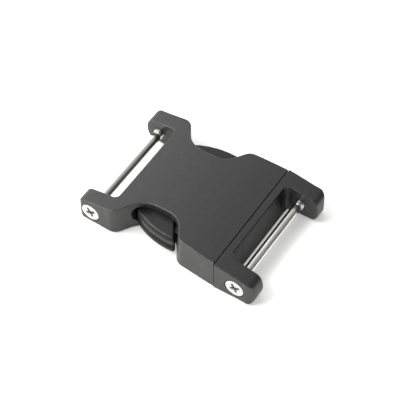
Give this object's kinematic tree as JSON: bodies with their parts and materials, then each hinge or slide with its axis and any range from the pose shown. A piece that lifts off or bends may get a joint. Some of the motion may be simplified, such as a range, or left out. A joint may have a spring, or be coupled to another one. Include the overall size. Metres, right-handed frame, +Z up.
{
  "type": "side release buckle",
  "caption": "Fastened side release buckle for flat webbing, with crowned body, thumb pads at the waist and a screwed steel web pin at each end.",
  "frame": {"origin": "on the resting face, under the middle of the buckle", "axes": "+X from the socket's web pin to the plug's web pin, +Y along the pins from their heads to their threads, +Z up from the flat underside to the crowned top"},
  "size_m": [0.0554, 0.0376, 0.011],
  "materials": {
    "moulded_plastic": "dark grey, fine satin moulded texture",
    "stainless_steel": "bright, turned along the shank"
  },
  "bodies": {
    "root": {"socket_body": "moulded_plastic", "plug_body": "moulded_plastic", "socket_web_pin": "stainless_steel", "plug_web_pin": "stainless_steel"}
  },
  "joints": []
}
